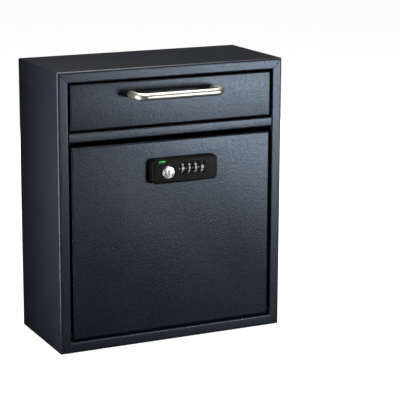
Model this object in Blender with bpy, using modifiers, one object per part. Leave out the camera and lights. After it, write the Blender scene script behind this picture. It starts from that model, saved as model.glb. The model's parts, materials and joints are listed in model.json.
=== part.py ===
"""Wall-mounted parcel drop box: a tilting hopper above a drop-down door with a combination lock.

Metres, +Z up. The origin is the centre of the base, and the front faces -Y.
"""

import math

import bmesh
import bpy
from mathutils import Matrix, Vector

# Cabinet
WIDTH = 0.264
DEPTH = 0.118
HEIGHT = 0.305
SHEET = 0.0012
GAP = 0.0003  # between pieces that touch
FRONT = -DEPTH / 2
BACK = DEPTH / 2
FLANGE = 0.0123  # width of the front frame
LIP = 0.010  # depth of the turned-in edge of the front frame
WRAP_BEND = 0.0026
LIP_BEND = 0.0020
OPENING_HALF = WIDTH / 2 - FLANGE
WALL_INSIDE = WIDTH / 2 - SHEET
BACK_FLANGE = 0.010
WALL_HOLE_RADIUS = 0.0035
WALL_HOLE_X = 0.090
WALL_HOLES_Z = (0.070, 0.190)

# Rail between the hopper and the door
RAIL_BOTTOM = 0.2296
RAIL_TOP = 0.2400
RAIL_DEPTH = 0.010
RAIL_BEND = 0.0016

# Brackets inside the cabinet
STOP_INNER_X = 0.108
STOP_BOTTOM = 0.196
STOP_TOP = 0.216
STOP_PLATE_Y = FRONT + 0.0126
STOP_FRONT_Y = FRONT + 0.0045
BUMPER_X = 0.1146
BUMPER_RADIUS = 0.0035
REST_INNER_X = 0.104
REST_FRONT_Y = -0.006
REST_BACK_Y = 0.012
REST_WEB = 0.014  # height of the side that is welded to the wall
PAD_X = 0.109
PAD_BACK_Y = 0.010
PAD_SIZE = (0.008, 0.010, 0.0027)

# Hopper
HOPPER_HALF = 0.1174
HOPPER_BOTTOM = 0.2422
HOPPER_TOP = 0.2908
HOPPER_DEPTH = 0.008
HOPPER_BEND = 0.0014
HOPPER_PIVOT_DEPTH = 0.0035  # behind the front
HOPPER_PIVOT = Vector((0.0, FRONT + HOPPER_PIVOT_DEPTH, HOPPER_BOTTOM + 0.0036))
TRAY_HALF = 0.1143
TRAY_FLOOR = HOPPER_BOTTOM + SHEET + GAP + SHEET / 2
TRAY_KNEE_Y = FRONT + HOPPER_DEPTH + GAP
TRAY_REAR_Y = 0.016
TRAY_SLOPE = math.radians(14.0)
TRAY_FLANGE = 0.0115
TRAY_LIP = 0.005
TRAY_BEND = 0.0012
CHEEK_RADIUS = 0.0435
CHEEK_LOW_ANGLE = math.radians(-15.0)
EAR_RADIUS = 0.051
EAR_ANGLES = (math.radians(8.0), math.radians(21.0))

# Handle
HANDLE_X = -0.0015
HANDLE_Z = 0.2773
HANDLE_SPAN = 0.096  # between the centres of the feet
HANDLE_REACH = 0.026  # to the centre of the bar
HANDLE_ROD = 0.0040
HANDLE_BEND = 0.009
HANDLE_SCREW_RADIUS = 0.0019
HANDLE_SCREW_HOLE = 0.0023
HANDLE_SCREW_HEAD = 0.0038
HANDLE_SCREW_REACH = 0.0070
HANDLE_BORE_DEPTH = 0.0090

# Door
DOOR_HALF = 0.1173
DOOR_BOTTOM = 0.0147
DOOR_TOP = 0.2244
DOOR_DEPTH = 0.009
DOOR_BEND = 0.0028
DOOR_PIVOT = Vector((0.0, FRONT + 0.004, DOOR_BOTTOM + 0.004))

# Pivot pins and their washers
PIN_RADIUS = 0.0015
PIN_HOLE = 0.0016
PIN_SEAT = PIN_RADIUS + GAP
PIN_HEAD = 0.0021
PIN_HEAD_LENGTH = 0.0014
WASHER_RADIUS = 0.0030

# Lock
COVER_LEFT = -0.0283
COVER_RIGHT = 0.0492
COVER_BOTTOM = 0.1788
COVER_TOP = 0.2058
COVER_PROUD = 0.0108  # at the crown of its bowed face
COVER_CROWN_X = 0.008
COVER_BOW = 0.400  # radius of the bowed face
COVER_INSIDE = FRONT - 0.0084
COVER_CORNER = 0.0050
COVER_FILLET = 0.0024
LOCK_AXIS = Vector((-0.0104, 0.0, 0.1913))
SLEEVE_RADIUS = 0.0069
SLEEVE_BORE = 0.0047
SLEEVE_CHAMFER = 0.0010
PLUG_RADIUS = 0.0044
PLUG_FRONT = FRONT - 0.0120
PLUG_CHAMFER = 0.0004
PLUG_TAIL_RADIUS = 0.0032
KEYWAY = Vector((0.0010, 0.0060, 0.0062))  # width, depth and height
BODY_FRONT = FRONT - 0.0068
BODY_BACK = FRONT + 0.007
BODY_LEFT = -0.0206
BODY_RIGHT = 0.0362
BODY_BOTTOM = 0.1834
BODY_TOP = 0.2026
CLAMP_THICKNESS = 0.0015
CLAMP_MARGIN = 0.001
LOCK_SCREW_X = (-0.0245, 0.0425)
LOCK_SCREW_Z = 0.1926
LOCK_SCREW_RADIUS = 0.0012
LOCK_SCREW_HOLE = 0.0015
LOCK_SCREW_HEAD = 0.0024
LOCK_SCREW_REACH = 0.0060
CAM_FRONT = FRONT + 0.0106
CAM_THICKNESS = 0.0018
CAM_LENGTH = 0.0450
CAM_HALF = 0.0065
CAM_CHAMFER = 0.002
CAM_SCREW_RADIUS = 0.0014
CAM_SCREW_HOLE = 0.0017
CAM_SCREW_HEAD = 0.0045
CAM_SCREW_REACH = 0.0030

# Indicator: a slot in the cover, a green flag that turns with the plug, and a red plate behind it
SLOT_LEFT = -0.0210
SLOT_RIGHT = -0.0122
SLOT_BOTTOM = 0.2017
SLOT_TOP = 0.2042
FLAG_FRONT = FRONT - 0.0081
FLAG_THICKNESS = 0.0005
FLAG_RADIUS = 0.0163
FLAG_LEFT = -0.0110  # its cut-off sides, from the lock's axis
FLAG_TOP = 0.01325
FLAG_ANGLES = (math.radians(93.0), math.radians(139.0))
FLAG_HUB = 0.0015
RED_PLATE_BOTTOM = 0.1990
RED_PLATE_CORNER = 0.0011

# Dials
DIAL_COUNT = 4
DIAL_FIRST_X = 0.0068
DIAL_PITCH = 0.0077
DIAL_RADIUS = 0.0069
DIAL_HALF = 0.0029
DIAL_GROOVE = 0.0004  # depth of the band that carries the figures
DIAL_RIM = 0.0008
DIAL_Y = FRONT - 0.0043
DIAL_Z = 0.1940
DIAL_BORE = 0.0013
AXLE_RADIUS = 0.0010
AXLE_END = 0.0018  # held in the lock body at each end
WINDOW_HALF_X = 0.00325
WINDOW_HALF_Z = 0.0060
FINGER_HALF = 0.0016
FINGER_LENGTH = 0.0075
COMB_BAND = 0.0030
COMB_THICKNESS = 0.0003

ROUND_SIDES = 32


def clear_scene():
    for obj in list(bpy.data.objects):
        bpy.data.objects.remove(obj, do_unlink=True)


def collection(name, hidden=False):
    made = bpy.data.collections.new(name)
    made.hide_render = hidden
    bpy.context.scene.collection.children.link(made)
    return made


def material(name, color, roughness, metallic):
    made = bpy.data.materials.new(name)
    made.use_nodes = True
    shader = made.node_tree.nodes["Principled BSDF"]
    shader.inputs["Base Color"].default_value = (*color, 1.0)
    shader.inputs["Roughness"].default_value = roughness
    shader.inputs["Metallic"].default_value = metallic
    return made


clear_scene()
PARTS = collection("parcel_drop_box")
CUTTERS = collection("cutters", hidden=True)

FINISHES = {
    "black_coat": ((0.022, 0.023, 0.026), 0.42, 0.0),
    "zinc_plate": ((0.62, 0.62, 0.60), 0.35, 1.0),
    "satin_nickel": ((0.60, 0.60, 0.58), 0.28, 1.0),
    "bright_chrome": ((0.86, 0.87, 0.88), 0.10, 1.0),
    "black_plastic": ((0.018, 0.018, 0.020), 0.45, 0.0),
    "dial_plastic": ((0.012, 0.012, 0.013), 0.40, 0.0),
    "nylon": ((0.020, 0.020, 0.021), 0.50, 0.0),
    "rubber": ((0.020, 0.020, 0.020), 0.80, 0.0),
    "green_enamel": ((0.10, 0.55, 0.12), 0.35, 0.0),
    "red_enamel": ((0.60, 0.03, 0.03), 0.35, 0.0),
}


def finish(obj, look):
    """Gives a piece its own material, named for the piece."""
    obj.data.materials.append(material(obj.name + "_" + look, *FINISHES[look]))


def place(obj, location, axis_empty=None):
    obj.location = Vector(location)
    if axis_empty:
        obj.parent = axis_empty
        obj.location -= axis_empty.location


def mesh_object(name, bm, look, location=(0, 0, 0), axis_empty=None):
    mesh = bpy.data.meshes.new(name)
    bm.to_mesh(mesh)
    bm.free()
    obj = bpy.data.objects.new(name, mesh)
    PARTS.objects.link(obj)
    finish(obj, look)
    place(obj, location, axis_empty)
    return obj


def adopt(obj, axis):
    """Hangs a piece whose mesh is in place already from an axis empty."""
    obj.data.transform(Matrix.Translation(-axis.location))
    place(obj, axis.location, axis)


def axis_empty(name, location):
    empty = bpy.data.objects.new(name, None)
    empty.location = location
    empty.empty_display_size = 0.02
    PARTS.objects.link(empty)
    return empty


def new_bmesh():
    """A mesh whose edges can carry a bevel weight."""
    bm = bmesh.new()
    bm.edges.layers.float.new("bevel_weight_edge")
    return bm


def box_bmesh(low, high):
    bm = new_bmesh()
    bmesh.ops.create_cube(bm, size=1.0)
    size = [b - a for a, b in zip(low, high)]
    bmesh.ops.scale(bm, vec=size, verts=bm.verts)
    bmesh.ops.translate(bm, vec=[(a + b) / 2 for a, b in zip(low, high)], verts=bm.verts)
    return bm


def flat_bmesh(points, y_low, y_high):
    """A block with an (x, z) outline between two depths."""
    bm = bmesh.new()
    face = bm.faces.new([bm.verts.new((x, y_low, z)) for x, z in points])
    made = bmesh.ops.extrude_face_region(bm, geom=[face])["geom"]
    moved = [item for item in made if isinstance(item, bmesh.types.BMVert)]
    bmesh.ops.translate(bm, vec=(0, y_high - y_low, 0), verts=moved)
    bmesh.ops.recalc_face_normals(bm, faces=bm.faces)
    return bm


def turn_matrix(axis):
    """Turns local +Z onto the named world axis."""
    turns = {"X": Matrix.Rotation(math.pi / 2, 4, "Y"), "Y": Matrix.Rotation(math.pi / 2, 4, "X")}
    return turns.get(axis, Matrix.Identity(4))


def add_cylinder(bm, centre, radius, length, axis, sides=ROUND_SIDES):
    matrix = Matrix.Translation(centre) @ turn_matrix(axis)
    bmesh.ops.create_cone(
        bm, cap_ends=True, segments=sides, radius1=radius, radius2=radius, depth=length, matrix=matrix
    )


def cutter(name, bm):
    mesh = bpy.data.meshes.new(name)
    bm.to_mesh(mesh)
    bm.free()
    obj = bpy.data.objects.new(name, mesh)
    CUTTERS.objects.link(obj)
    obj.hide_render = True
    obj.display_type = "WIRE"
    return obj


def boolean(obj, other, operation="DIFFERENCE"):
    modifier = obj.modifiers.new(operation.title() + " " + other.name, "BOOLEAN")
    modifier.operation = operation
    modifier.object = other
    modifier.solver = "EXACT"


def cut_box(obj, low, high):
    boolean(obj, cutter(obj.name + "_cut", box_bmesh(low, high)))


def cut_cylinders(obj, centres, radius, length, axis, sides=ROUND_SIDES):
    bm = bmesh.new()
    for centre in centres:
        add_cylinder(bm, centre, radius, length, axis, sides)
    boolean(obj, cutter(obj.name + "_bore", bm))


def bevel(obj, width, segments=3, weighted=False):
    modifier = obj.modifiers.new("Bevel", "BEVEL")
    modifier.width = width
    modifier.segments = segments
    modifier.limit_method = "WEIGHT" if weighted else "ANGLE"
    modifier.harden_normals = False


def solidify(obj, thickness=SHEET, offset=-1.0):
    modifier = obj.modifiers.new("Sheet", "SOLIDIFY")
    modifier.thickness = thickness
    modifier.offset = offset
    modifier.use_even_offset = True


def weigh(bm, edges, weight=1.0):
    layer = bm.edges.layers.float["bevel_weight_edge"]
    for edge in edges:
        edge[layer] = weight


def sweep_chain(bm, points, vector):
    """Sweeps a chain of points into a sheet."""
    start = [bm.verts.new(point) for point in points]
    chain = [bm.edges.new(pair) for pair in zip(start, start[1:])]
    pull(bm, chain, vector)


def pull(bm, edges, vector):
    """Extrudes edges along a vector."""
    swept = bmesh.ops.extrude_edge_only(bm, edges=edges)["geom"]
    moved = [item for item in swept if isinstance(item, bmesh.types.BMVert)]
    bmesh.ops.translate(bm, vec=vector, verts=moved)


def facing(bm, direction):
    return max(bm.faces, key=lambda face: face.normal.dot(Vector(direction)))


def sharp_smooth(obj):
    obj.data.shade_smooth()
    obj.data.set_sharp_from_angle(angle=math.radians(35))


def folded_pan(name, low, high, bend, toward, look, parent=None):
    """A tray of folded sheet between two corners. Its face looks along the toward direction."""
    bm = box_bmesh(low, high)
    bm.normal_update()
    bmesh.ops.delete(bm, geom=[facing(bm, (0, -toward, 0))], context="FACES_ONLY")
    bm.edges.ensure_lookup_table()
    weigh(bm, facing(bm, (0, toward, 0)).edges)
    centre = (Vector(low) + Vector(high)) / 2
    bmesh.ops.translate(bm, vec=-centre, verts=bm.verts)
    obj = mesh_object(name, bm, look, centre, parent)
    bevel(obj, bend, weighted=True)
    solidify(obj)
    return obj


def folded_strip(name, points, half_width, bend, look, parent=None, offset=0.0):
    """A strip of sheet along X, folded through the (y, z) points. The offset sets its side of them."""
    bm = new_bmesh()
    sweep_chain(bm, [(-half_width, y, z) for y, z in points], (2 * half_width, 0, 0))
    weigh(bm, [edge for edge in bm.edges if len(edge.link_faces) == 2])
    obj = mesh_object(name, bm, look)
    if parent:
        adopt(obj, parent)
    bevel(obj, bend, weighted=True)
    solidify(obj, offset=offset)
    return obj


def turned(name, profile, axis, location, look, parent=None, sides=ROUND_SIDES):
    """A turned piece from (radius, height) points, listed from its front end to its back end."""
    bm = bmesh.new()
    verts = [bm.verts.new((radius, 0.0, -height)) for radius, height in profile]
    for pair in zip(verts, verts[1:]):
        bm.edges.new(pair)
    obj = mesh_object(name, bm, look, location, parent)
    turn = {"X": (0, -math.pi / 2, 0), "-X": (0, math.pi / 2, 0), "Y": (math.pi / 2, 0, 0)}
    turn["-Y"] = (-math.pi / 2, 0, 0)
    obj.rotation_euler = turn[axis]
    screw = obj.modifiers.new("Turn", "SCREW")
    screw.axis = "Z"
    screw.steps = sides
    screw.render_steps = sides
    screw.use_merge_vertices = True
    screw.merge_threshold = 0.00001
    screw.use_smooth_shade = True
    return obj


def outline(name, points, thickness, rotation, location, look, parent=None):
    """A flat piece: a closed 2D outline given half its thickness each way."""
    curve = bpy.data.curves.new(name, "CURVE")
    curve.dimensions = "2D"
    curve.fill_mode = "BOTH"
    curve.extrude = thickness / 2
    spline = curve.splines.new("POLY")
    spline.points.add(len(points) - 1)
    for point, (u, v) in zip(spline.points, points):
        point.co = (u, v, 0.0, 1.0)
    spline.use_cyclic_u = True
    obj = bpy.data.objects.new(name, curve)
    PARTS.objects.link(obj)
    finish(obj, look)
    obj.rotation_euler = rotation
    place(obj, location, parent)
    return obj


def arc(centre, radius, start, stop, count):
    """Points on an arc in a plane, ends included."""
    steps = [start + (stop - start) * step / (count - 1) for step in range(count)]
    return [(centre[0] + radius * math.cos(a), centre[1] + radius * math.sin(a)) for a in steps]


def to_mesh(obj):
    """Replaces a curve object by the mesh it makes, with its caps welded on."""
    bpy.context.view_layer.update()
    graph = bpy.context.evaluated_depsgraph_get()
    mesh = bpy.data.meshes.new_from_object(obj.evaluated_get(graph))
    bm = bmesh.new()
    bm.from_mesh(mesh)
    bmesh.ops.remove_doubles(bm, verts=bm.verts, dist=0.000001)
    bmesh.ops.recalc_face_normals(bm, faces=bm.faces)
    bm.to_mesh(mesh)
    bm.free()
    name, world, parent = obj.name, obj.matrix_world.copy(), obj.parent
    bpy.data.objects.remove(obj, do_unlink=True)
    mesh.name = name
    made = bpy.data.objects.new(name, mesh)
    PARTS.objects.link(made)
    made.parent = parent
    made.matrix_basis = (parent.matrix_world.inverted() if parent else Matrix()) @ world
    return made


# ---------------------------------------------------------------- cabinet


def cabinet_shell():
    """Top, sides and base folded from one sheet, with a mitred front frame and turned-in lips."""
    bm = box_bmesh((-WIDTH / 2, FRONT, 0), (WIDTH / 2, BACK, HEIGHT))
    bm.normal_update()
    bmesh.ops.delete(bm, geom=[facing(bm, (0, 1, 0))], context="FACES_ONLY")
    front = facing(bm, (0, -1, 0))
    outer = list(front.edges)
    bmesh.ops.inset_region(bm, faces=[front], thickness=FLANGE, use_even_offset=True)
    rim = list(front.edges)
    bmesh.ops.delete(bm, geom=[front], context="FACES_ONLY")
    pull(bm, rim, (0, LIP, 0))
    weigh(bm, outer)
    weigh(bm, rim, LIP_BEND / WRAP_BEND)
    obj = mesh_object("cabinet_shell", bm, "black_coat")
    bevel(obj, WRAP_BEND, segments=4, weighted=True)
    solidify(obj)
    for pivot in (HOPPER_PIVOT, DOOR_PIVOT):
        cut_cylinders(obj, [pivot], PIN_SEAT, 2 * OPENING_HALF + 0.010, "X", sides=16)


def back_panel():
    """The rear sheet, folded forward all round and set inside the wrap."""
    reach = WALL_INSIDE - GAP
    low = (-reach, BACK - BACK_FLANGE, SHEET + GAP)
    high = (reach, BACK, HEIGHT - SHEET - GAP)
    obj = folded_pan("back_panel", low, high, 0.0012, 1, "black_coat")
    holes = [Vector((x, BACK, z)) for x in (-WALL_HOLE_X, WALL_HOLE_X) for z in WALL_HOLES_Z]
    cut_cylinders(obj, holes, WALL_HOLE_RADIUS, 0.006, "Y", sides=24)


def middle_rail():
    """A channel across the opening, open to the rear."""
    back = FRONT + RAIL_DEPTH
    points = [(back, RAIL_TOP), (FRONT, RAIL_TOP), (FRONT, RAIL_BOTTOM), (back, RAIL_BOTTOM)]
    folded_strip("middle_rail", points, OPENING_HALF - GAP, RAIL_BEND, "black_coat", offset=1.0)


def pivot_pins():
    """Headed pins held in the frame's lips, each with a washer between the lip and the moving pan."""
    for owner, pivot, half in (("hopper", HOPPER_PIVOT, HOPPER_HALF), ("door", DOOR_PIVOT, DOOR_HALF)):
        head_at = OPENING_HALF + SHEET + GAP
        length = head_at - (half - SHEET)
        for side, sign in (("left", -1), ("right", 1)):
            profile = [
                (0.0, -PIN_HEAD_LENGTH),
                (PIN_HEAD * 0.75, -PIN_HEAD_LENGTH),
                (PIN_HEAD, -PIN_HEAD_LENGTH * 0.5),
                (PIN_HEAD, 0.0),
                (PIN_RADIUS, 0.0),
                (PIN_RADIUS, length),
                (0.0, length),
            ]
            spot = pivot + Vector((sign * head_at, 0, 0))
            axis = "X" if sign < 0 else "-X"
            turned(f"{owner}_pivot_pin_{side}", profile, axis, spot, "black_coat", sides=16)
            washer(f"{owner}_washer_{side}", pivot, sign, half)


def washer(name, pivot, sign, half):
    low = half + GAP
    width = OPENING_HALF - GAP - low
    profile = [
        (PIN_SEAT, 0.0),
        (WASHER_RADIUS, 0.0),
        (WASHER_RADIUS, width),
        (PIN_SEAT, width),
        (PIN_SEAT, 0.0),
    ]
    spot = pivot + Vector((sign * low, 0, 0))
    turned(name, profile, "X" if sign > 0 else "-X", spot, "nylon", sides=20)


def door_stops():
    """Angle brackets behind the lips, with rubber bumpers that meet the door's folded edge."""
    wall = OPENING_HALF + SHEET + GAP + SHEET / 2
    bumper_back = STOP_PLATE_Y - SHEET / 2 - GAP
    bumper_front = FRONT + DOOR_DEPTH + GAP
    for side, sign in (("left", -1), ("right", 1)):
        plan = [(STOP_INNER_X, STOP_PLATE_Y), (wall, STOP_PLATE_Y), (wall, STOP_FRONT_Y)]
        bm = bmesh.new()
        sweep_chain(bm, [(sign * x, y, STOP_BOTTOM) for x, y in plan], (0, 0, STOP_TOP - STOP_BOTTOM))
        bracket = mesh_object(f"door_stop_{side}", bm, "black_coat")
        solidify(bracket, offset=0.0)
        bm = bmesh.new()
        add_cylinder(bm, (0, 0, 0), BUMPER_RADIUS, bumper_back - bumper_front, "Y", sides=24)
        spot = (sign * BUMPER_X, (bumper_back + bumper_front) / 2, (STOP_BOTTOM + STOP_TOP) / 2)
        bumper = mesh_object(f"door_bumper_{side}", bm, "rubber", spot)
        bevel(bumper, 0.0005, segments=2)
        sharp_smooth(bumper)


def tray_height(y):
    """Height of the middle of the tray's sheet at a depth, with the hopper shut."""
    return TRAY_FLOOR - max(0.0, y - TRAY_KNEE_Y) * math.tan(TRAY_SLOPE)


def hopper_rests():
    """Brackets on the side walls, with pads that the tray's rear edge lies on."""
    pad_top = tray_height(PAD_BACK_Y) - SHEET / 2 / math.cos(TRAY_SLOPE) - GAP
    shelf = pad_top - PAD_SIZE[2] - GAP
    wall = WALL_INSIDE - GAP - SHEET / 2
    for side, sign in (("left", -1), ("right", 1)):
        middle = shelf - SHEET / 2
        plan = [(wall, shelf - REST_WEB), (wall, middle), (REST_INNER_X, middle)]
        bm = bmesh.new()
        depth = REST_BACK_Y - REST_FRONT_Y
        sweep_chain(bm, [(sign * x, REST_FRONT_Y, z) for x, z in plan], (0, depth, 0))
        bracket = mesh_object(f"hopper_rest_{side}", bm, "black_coat")
        solidify(bracket, offset=0.0)
        half_x, half_y = PAD_SIZE[0] / 2, PAD_SIZE[1] / 2
        block = box_bmesh((-half_x, -half_y, 0), (half_x, half_y, PAD_SIZE[2]))
        spot = (sign * PAD_X, PAD_BACK_Y - half_y, shelf + GAP)
        pad = mesh_object(f"hopper_pad_{side}", block, "rubber", spot)
        bevel(pad, 0.0004, segments=2)


# ---------------------------------------------------------------- hopper


def hopper_face(parent):
    low = (-HOPPER_HALF, FRONT, HOPPER_BOTTOM)
    high = (HOPPER_HALF, FRONT + HOPPER_DEPTH, HOPPER_TOP)
    obj = folded_pan("hopper_face", low, high, HOPPER_BEND, -1, "black_coat", parent)
    cut_cylinders(obj, [HOPPER_PIVOT], PIN_HOLE, 2 * HOPPER_HALF + 0.004, "X", sides=16)
    cut_cylinders(obj, handle_feet(), HANDLE_SCREW_HOLE, 0.006, "Y", sides=16)


def handle_feet():
    return [Vector((HANDLE_X + side * HANDLE_SPAN / 2, FRONT, HANDLE_Z)) for side in (-1, 1)]


def hopper_tray(parent):
    """The sheet that blocks the opening when the hopper is out and drops the parcel when it shuts."""
    flange_y = FRONT + SHEET + GAP + SHEET / 2
    rear_z = tray_height(TRAY_REAR_Y)
    points = [
        (flange_y, tray_height(flange_y) + TRAY_FLANGE),
        (flange_y, TRAY_FLOOR),
        (TRAY_KNEE_Y, TRAY_FLOOR),
        (TRAY_REAR_Y, rear_z),
        (TRAY_REAR_Y, rear_z - TRAY_LIP),
    ]
    folded_strip("hopper_tray", points, TRAY_HALF, TRAY_BEND, "black_coat", parent=parent)


def hopper_cheeks(parent):
    """Quarter-round side plates, each with an ear that meets the frame's top lip when the hopper is out."""
    inner_face = FRONT + SHEET + GAP - HOPPER_PIVOT.y
    floor = HOPPER_BOTTOM + SHEET + GAP - HOPPER_PIVOT.z
    top_angle = math.acos(inner_face / CHEEK_RADIUS)
    points = [(inner_face, floor), (HOPPER_DEPTH - HOPPER_PIVOT_DEPTH + GAP, floor)]
    points += arc((0, 0), CHEEK_RADIUS, CHEEK_LOW_ANGLE, EAR_ANGLES[0], 6)
    points += arc((0, 0), EAR_RADIUS, *EAR_ANGLES, 3)
    points += arc((0, 0), CHEEK_RADIUS, EAR_ANGLES[1], top_angle, 12)
    turn = (math.pi / 2, 0, math.pi / 2)
    for side, sign in (("left", -1), ("right", 1)):
        x = sign * (TRAY_HALF + GAP + SHEET / 2)
        spot = HOPPER_PIVOT + Vector((x, 0, 0))
        outline(f"hopper_cheek_{side}", points, SHEET, turn, spot, "black_coat", parent)


def handle(parent):
    """A wire pull bent from round rod, with a blind screw hole in each foot."""
    half = HANDLE_SPAN / 2
    bend = (half - HANDLE_BEND, -HANDLE_REACH + HANDLE_BEND)
    quarter = arc(bend, HANDLE_BEND, 0.0, -math.pi / 2, 8)
    right = [(half, -GAP), (half, bend[1] / 2)] + quarter
    left = [(-x, y) for x, y in reversed(right)]
    curve = bpy.data.curves.new("handle", "CURVE")
    curve.dimensions = "3D"
    curve.bevel_depth = HANDLE_ROD
    curve.bevel_resolution = 4
    curve.use_fill_caps = True
    spline = curve.splines.new("POLY")
    spline.points.add(len(right + left) - 1)
    for point, (x, y) in zip(spline.points, right + left):
        point.co = (x, y, 0.0, 1.0)
    rod = bpy.data.objects.new("handle", curve)
    PARTS.objects.link(rod)
    finish(rod, "satin_nickel")
    place(rod, (HANDLE_X, FRONT, HANDLE_Z), parent)
    rod = to_mesh(rod)
    sharp_smooth(rod)
    cut_cylinders(rod, handle_feet(), HANDLE_SCREW_HOLE, 2 * HANDLE_BORE_DEPTH, "Y", sides=16)


def pan_head(name, radius, reach, seat, head, location, parent):
    """A pan-head screw with its head to the rear. Reach is how far it passes the location to the front."""
    profile = [
        (0.0, -reach),
        (radius, -reach),
        (radius, seat),
        (head, seat),
        (head, seat + 0.25 * head),
        (0.67 * head, seat + 0.5 * head),
        (0.0, seat + 0.5 * head),
    ]
    turned(name, profile, "Y", location, "zinc_plate", parent, sides=20)


def handle_screws(parent):
    for side, foot in zip(("left", "right"), handle_feet()):
        pan_head(
            f"handle_screw_{side}",
            HANDLE_SCREW_RADIUS,
            HANDLE_SCREW_REACH,
            SHEET + GAP,
            HANDLE_SCREW_HEAD,
            foot,
            parent,
        )


# ---------------------------------------------------------------- door


def door_panel(parent):
    low = (-DOOR_HALF, FRONT, DOOR_BOTTOM)
    high = (DOOR_HALF, FRONT + DOOR_DEPTH, DOOR_TOP)
    obj = folded_pan("door_panel", low, high, DOOR_BEND, -1, "black_coat", parent)
    cut_cylinders(obj, [DOOR_PIVOT], PIN_HOLE, 2 * DOOR_HALF + 0.004, "X", sides=16)
    margin = GAP + 0.0001
    low = (BODY_LEFT - margin, FRONT - 0.002, BODY_BOTTOM - margin)
    high = (BODY_RIGHT + margin, FRONT + 0.003, BODY_TOP + margin)
    cut_box(obj, low, high)
    cut_cylinders(obj, lock_screw_spots(), LOCK_SCREW_HOLE + 0.0001, 0.006, "Y", sides=16)


def dial_centres():
    return [Vector((DIAL_FIRST_X + n * DIAL_PITCH, DIAL_Y, DIAL_Z)) for n in range(DIAL_COUNT)]


def lock_screw_spots():
    return [Vector((x, FRONT, LOCK_SCREW_Z)) for x in LOCK_SCREW_X]


def lock_housing(parent):
    """The moulded cover of the lock: a bowed face with windows for the dials and the indicator."""
    crown = FRONT - COVER_PROUD
    bm = box_bmesh((COVER_LEFT, crown, COVER_BOTTOM), (COVER_RIGHT, FRONT - GAP, COVER_TOP))
    along = [e for e in bm.edges if abs((e.verts[0].co - e.verts[1].co).y) > COVER_PROUD / 2]
    bmesh.ops.bevel(bm, geom=along, offset=COVER_CORNER, segments=4, profile=0.5, affect="EDGES")
    bow_the_face(bm, crown)
    bm.normal_update()
    weigh(bm, [edge for edge in bm.edges if is_face_rim(edge)])
    obj = mesh_object("lock_housing", bm, "black_plastic")
    adopt(obj, parent)
    bevel(obj, COVER_FILLET, segments=3, weighted=True)
    back = FRONT + 0.001
    low = (BODY_LEFT - GAP, COVER_INSIDE, BODY_BOTTOM - GAP)
    cut_box(obj, low, (BODY_RIGHT + GAP, back, BODY_TOP + GAP))
    boolean(obj, flag_room())
    sleeve_hole = LOCK_AXIS + Vector((0, crown, 0))
    cut_cylinders(obj, [sleeve_hole], SLEEVE_RADIUS + GAP, 0.008, "Y")
    for centre in dial_centres():
        low = (centre.x - WINDOW_HALF_X, crown - 0.001, centre.z - WINDOW_HALF_Z)
        high = (centre.x + WINDOW_HALF_X, COVER_INSIDE + GAP, centre.z + WINDOW_HALF_Z)
        cut_box(obj, low, high)
    boolean(obj, indicator_slot(crown))
    cut_cylinders(obj, lock_screw_spots(), LOCK_SCREW_HOLE, 0.013, "Y", sides=16)


def bow_the_face(bm, crown):
    """Slices the block along X, then sets each slice of the front face on the bow."""
    for step in range(1, 12):
        x = COVER_LEFT + (COVER_RIGHT - COVER_LEFT) * step / 12
        geom = list(bm.verts) + list(bm.edges) + list(bm.faces)
        bmesh.ops.bisect_plane(bm, geom=geom, plane_co=(x, 0, 0), plane_no=(1, 0, 0))
    for vert in bm.verts:
        if abs(vert.co.y - crown) < 0.0001:
            vert.co.y += (vert.co.x - COVER_CROWN_X) ** 2 / (2 * COVER_BOW)


def is_face_rim(edge):
    """True for an edge between the bowed face and the cover's sides."""
    fronts = [face.normal.y < -0.9 for face in edge.link_faces]
    return any(fronts) and not all(fronts)


def flag_room():
    """The space that the indicator flag sweeps inside the cover."""
    axis = (LOCK_AXIS.x, LOCK_AXIS.z)
    ring = arc(axis, FLAG_RADIUS + GAP, 0.0, 2 * math.pi, 65)[:-1]
    top = axis[1] + FLAG_TOP + GAP / 2
    bottom = axis[1] + FLAG_LEFT - GAP
    points = [(x, min(max(z, bottom), top)) for x, z in ring]
    return cutter("flag_room", flat_bmesh(points, COVER_INSIDE, BODY_FRONT + 0.0001))


def indicator_slot(crown):
    radius = (SLOT_TOP - SLOT_BOTTOM) / 2
    middle = (SLOT_TOP + SLOT_BOTTOM) / 2
    points = arc((SLOT_RIGHT - radius, middle), radius, -math.pi / 2, math.pi / 2, 9)
    points += arc((SLOT_LEFT + radius, middle), radius, math.pi / 2, 3 * math.pi / 2, 9)
    return cutter("indicator_slot", flat_bmesh(points, crown - 0.001, COVER_INSIDE + GAP))


def lock_body(parent):
    """The inner case, which passes through the door and carries the plug and the dials."""
    low = (BODY_LEFT, BODY_FRONT, BODY_BOTTOM)
    high = (BODY_RIGHT, BODY_BACK, BODY_TOP)
    obj = mesh_object("lock_body", box_bmesh(low, high), "zinc_plate")
    adopt(obj, parent)
    first, last = dial_centres()[0].x, dial_centres()[-1].x
    side, room = DIAL_HALF + GAP, DIAL_RADIUS + GAP
    floor = DIAL_Y + room + 2 * GAP + COMB_THICKNESS
    cut_box(obj, (first - side, FRONT - 0.02, DIAL_Z - room), (last + side, floor, DIAL_Z + room))
    cut_cylinders(obj, [LOCK_AXIS + Vector((0, FRONT, 0))], PLUG_RADIUS + GAP, 0.030, "Y")
    axle = Vector(((first + last) / 2, DIAL_Y, DIAL_Z))
    bore_length = last - first + 2 * (side + AXLE_END + GAP)
    cut_cylinders(obj, [axle], AXLE_RADIUS + GAP, bore_length, "X", sides=16)


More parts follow.
